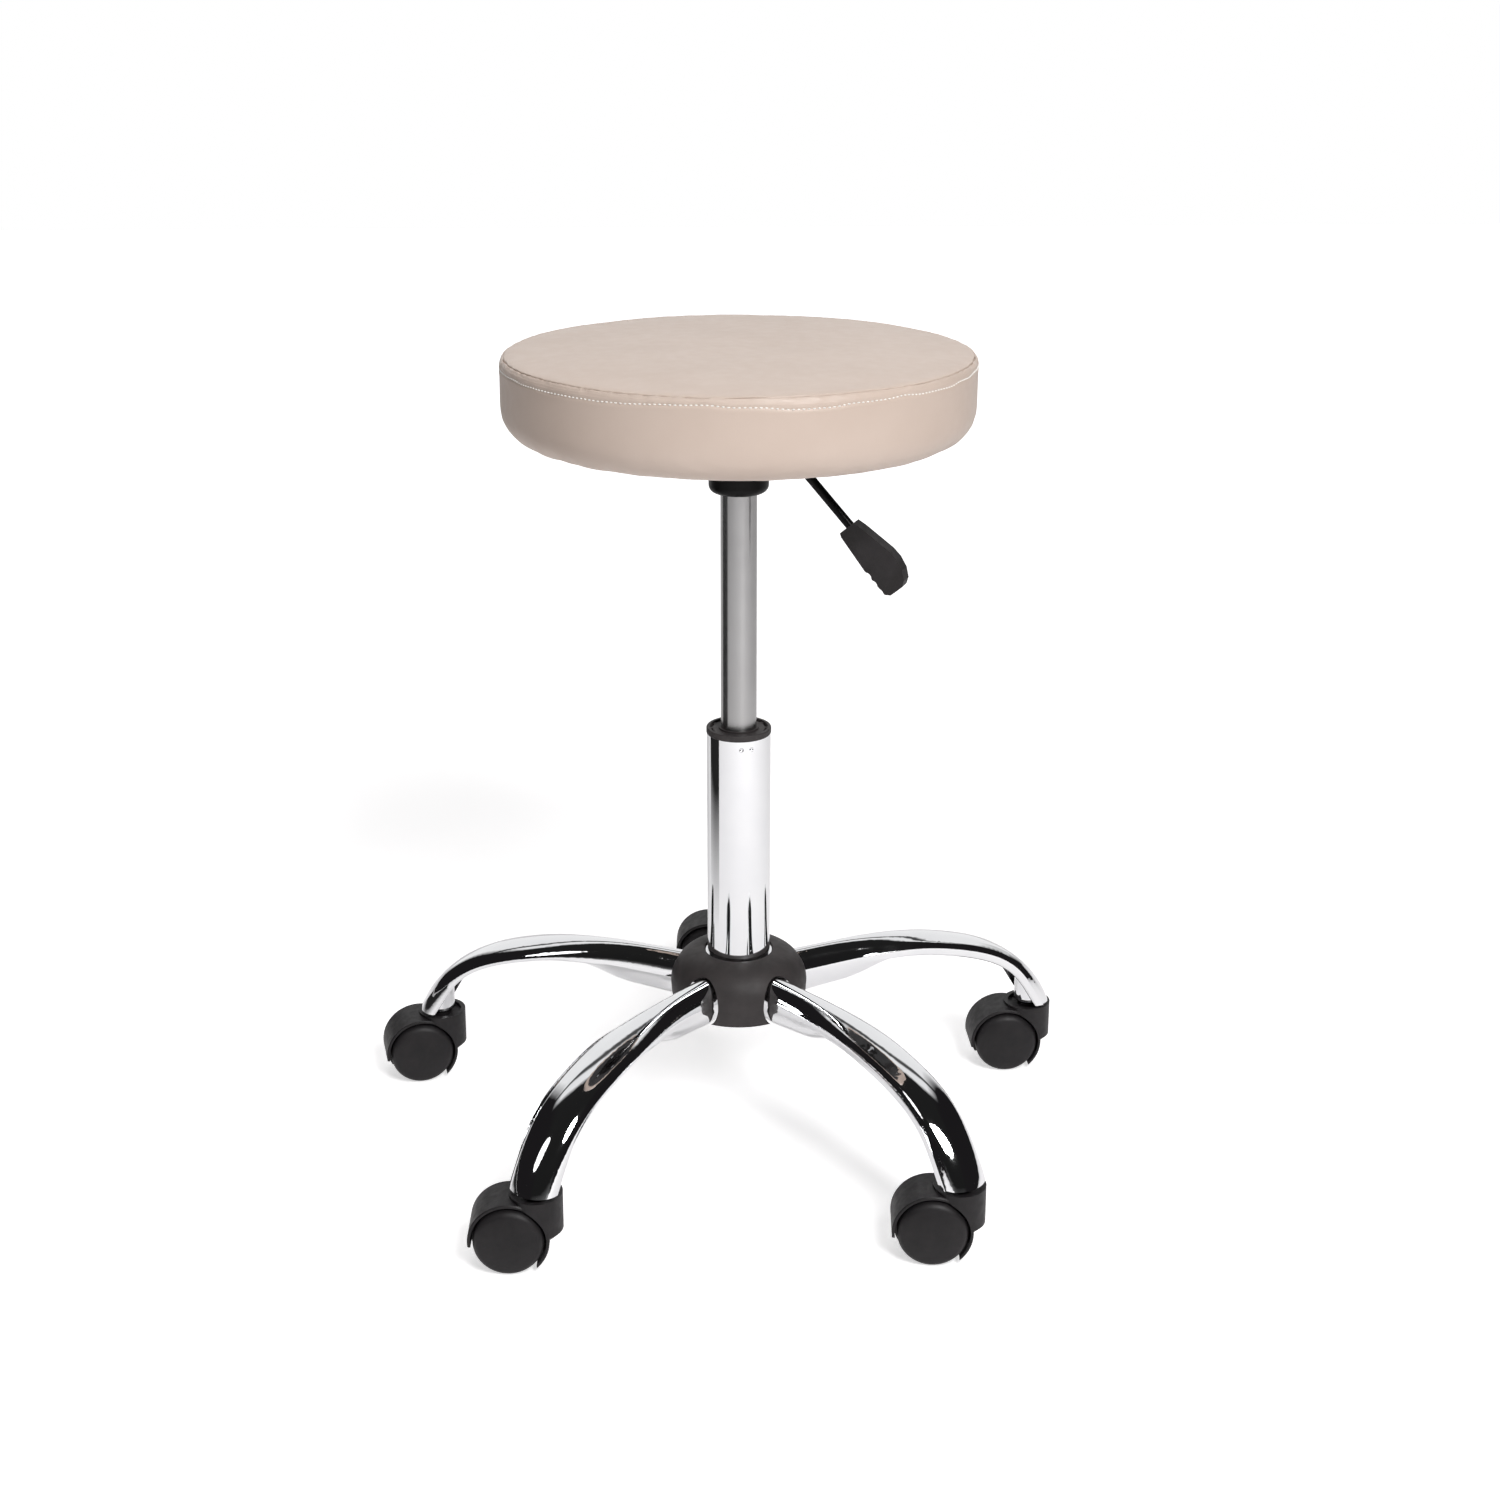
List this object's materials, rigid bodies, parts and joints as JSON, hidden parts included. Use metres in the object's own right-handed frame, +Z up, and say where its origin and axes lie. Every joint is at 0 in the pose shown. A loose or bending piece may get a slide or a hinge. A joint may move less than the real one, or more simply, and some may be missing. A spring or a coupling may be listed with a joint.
{
  "type": "pedicure stool",
  "caption": "Low round padded stool on a gas lift, with a lever under the seat and a chrome star base on twin-wheel casters.",
  "frame": {"origin": "on the floor under the column's axis", "axes": "+Z up along the column; the first leg points 18 degrees from +X towards +Y; the user of the pictured side looks along +Y"},
  "size_m": [0.5697, 0.5228, 0.6352],
  "materials": {
    "chrome": "polished chrome plating on steel",
    "ground_steel": "ground satin steel",
    "zinc_steel": "zinc-plated steel",
    "black_steel": "black powder coat",
    "cover_plastic": "fine-grained dark grey moulded plastic",
    "caster_plastic": "matte black moulded nylon",
    "grip_plastic": "textured black moulded plastic",
    "nylon": "natural nylon",
    "rubber": "moulded rubber",
    "vinyl": "taupe upholstery vinyl with fine leather grain",
    "foam": "cut polyurethane foam",
    "plywood": "raw plywood",
    "dust_cloth": "black non-woven cloth"
  },
  "bodies": {
    "base": {"hub_sleeve": "chrome", "hub_cover": "cover_plastic", "leg_1": "chrome", "leg_2": "chrome", "leg_3": "chrome", "leg_4": "chrome", "leg_5": "chrome", "stem_sockets": "chrome", "caster_stems": "zinc_steel", "stem_grip_rings": "zinc_steel", "lift_outer_tube": "chrome", "lift_guide_bush": "cover_plastic", "bearing_race_lower": "zinc_steel"},
    "bearing": {"bearing_cage": "nylon", "bearing_balls": "zinc_steel"},
    "lift_rod": {"piston_rod": "ground_steel", "piston": "zinc_steel", "bearing_race_upper": "zinc_steel", "lift_bumper": "rubber", "rod_clip": "zinc_steel"},
    "seat": {"gas_cylinder": "ground_steel", "cylinder_gland": "zinc_steel", "seat_socket": "black_steel", "seat_plate": "black_steel", "plate_bolts": "zinc_steel", "bolt_washers": "zinc_steel", "tee_nuts": "zinc_steel", "seat_board": "plywood", "seat_foam": "foam", "seat_cover": "vinyl", "dust_cover": "dust_cloth", "staples": "zinc_steel", "lever_bush": "nylon"},
    "lever": {"lever_rod": "black_steel", "lever_grip": "grip_plastic"},
    "valve_button": {"valve_button": "zinc_steel"},
    "caster_1": {"caster_housing_1": "caster_plastic", "caster_axle_1": "zinc_steel"},
    "wheel_1a": {"caster_wheel_1a": "caster_plastic"},
    "wheel_1b": {"caster_wheel_1b": "caster_plastic"},
    "caster_2": {"caster_housing_2": "caster_plastic", "caster_axle_2": "zinc_steel"},
    "wheel_2a": {"caster_wheel_2a": "caster_plastic"},
    "wheel_2b": {"caster_wheel_2b": "caster_plastic"},
    "caster_3": {"caster_housing_3": "caster_plastic", "caster_axle_3": "zinc_steel"},
    "wheel_3a": {"caster_wheel_3a": "caster_plastic"},
    "wheel_3b": {"caster_wheel_3b": "caster_plastic"},
    "caster_4": {"caster_housing_4": "caster_plastic", "caster_axle_4": "zinc_steel"},
    "wheel_4a": {"caster_wheel_4a": "caster_plastic"},
    "wheel_4b": {"caster_wheel_4b": "caster_plastic"},
    "caster_5": {"caster_housing_5": "caster_plastic", "caster_axle_5": "zinc_steel"},
    "wheel_5a": {"caster_wheel_5a": "caster_plastic"},
    "wheel_5b": {"caster_wheel_5b": "caster_plastic"}
  },
  "joints": [
    {"name": "seat_swivel", "type": "hinge", "parent": "base", "child": "lift_rod", "pos_m": [0, 0, 0.10055], "axis": [0, 0, 1], "continuous": true},
    {"name": "bearing_turn", "type": "hinge", "parent": "base", "child": "bearing", "pos_m": [0, 0, 0.10055], "axis": [0, 0, 1], "continuous": true},
    {"name": "seat_height", "type": "slide", "parent": "lift_rod", "child": "seat", "axis": [0, 0, 1], "range_m": [-0.14, 0]},
    {"name": "lever_tilt", "type": "hinge", "parent": "seat", "child": "lever", "pos_m": [0.02921, -0.0118, 0.5598], "axis": [-0.3746, -0.9272, 0], "range_deg": [0, 7], "stiffness_Nm_per_rad": 20, "springref_deg": -2.86},
    {"name": "button_press", "type": "slide", "parent": "seat", "child": "valve_button", "axis": [0, 0, -1], "range_m": [0, 0.004]},
    {"name": "caster_swivel_1", "type": "hinge", "parent": "base", "child": "caster_1", "pos_m": [0.24918, 0.08096, 0.05], "axis": [0, 0, 1], "continuous": true},
    {"name": "wheel_roll_1a", "type": "hinge", "parent": "caster_1", "child": "wheel_1a", "pos_m": [0.22958, 0.08059, 0.0258], "axis": [0.0192, -0.9998, 0], "continuous": true},
    {"name": "wheel_roll_1b", "type": "hinge", "parent": "caster_1", "child": "wheel_1b", "pos_m": [0.22958, 0.08059, 0.0258], "axis": [0.0192, -0.9998, 0], "continuous": true},
    {"name": "caster_swivel_2", "type": "hinge", "parent": "base", "child": "caster_2", "pos_m": [0, 0.262, 0.05], "axis": [0, 0, 1], "continuous": true},
    {"name": "wheel_roll_2a", "type": "hinge", "parent": "caster_2", "child": "wheel_2a", "pos_m": [-0.01959, 0.26265, 0.0258], "axis": [-0.0332, -0.9995, 0], "continuous": true},
    {"name": "wheel_roll_2b", "type": "hinge", "parent": "caster_2", "child": "wheel_2b", "pos_m": [-0.01959, 0.26265, 0.0258], "axis": [-0.0332, -0.9995, 0], "continuous": true},
    {"name": "caster_swivel_3", "type": "hinge", "parent": "base", "child": "caster_3", "pos_m": [-0.24918, 0.08096, 0.05], "axis": [0, 0, 1], "continuous": true},
    {"name": "wheel_roll_3a", "type": "hinge", "parent": "caster_3", "child": "wheel_3a", "pos_m": [-0.26834, 0.07685, 0.0258], "axis": [0.2096, -0.9778, 0], "continuous": true},
    {"name": "wheel_roll_3b", "type": "hinge", "parent": "caster_3", "child": "wheel_3b", "pos_m": [-0.26834, 0.07685, 0.0258], "axis": [0.2096, -0.9778, 0], "continuous": true},
    {"name": "caster_swivel_4", "type": "hinge", "parent": "base", "child": "caster_4", "pos_m": [-0.154, -0.21196, 0.05], "axis": [0, 0, 1], "continuous": true},
    {"name": "wheel_roll_4a", "type": "hinge", "parent": "caster_4", "child": "wheel_4a", "pos_m": [-0.1736, -0.21166, 0.0258], "axis": [-0.0157, -0.9999, 0], "continuous": true},
    {"name": "wheel_roll_4b", "type": "hinge", "parent": "caster_4", "child": "wheel_4b", "pos_m": [-0.1736, -0.21166, 0.0258], "axis": [-0.0157, -0.9999, 0], "continuous": true},
    {"name": "caster_swivel_5", "type": "hinge", "parent": "base", "child": "caster_5", "pos_m": [0.154, -0.21196, 0.05], "axis": [0, 0, 1], "continuous": true},
    {"name": "wheel_roll_5a", "type": "hinge", "parent": "caster_5", "child": "wheel_5a", "pos_m": [0.13445, -0.21063, 0.0258], "axis": [-0.068, -0.9977, 0], "continuous": true},
    {"name": "wheel_roll_5b", "type": "hinge", "parent": "caster_5", "child": "wheel_5b", "pos_m": [0.13445, -0.21063, 0.0258], "axis": [-0.068, -0.9977, 0], "continuous": true}
  ],
  "couplings": [
    {"joint": "bearing_turn", "follows": "seat_swivel", "ratio": 0.5},
    {"joint": "button_press", "follows": "lever_tilt", "m_per_rad": 0.0315}
  ]
}
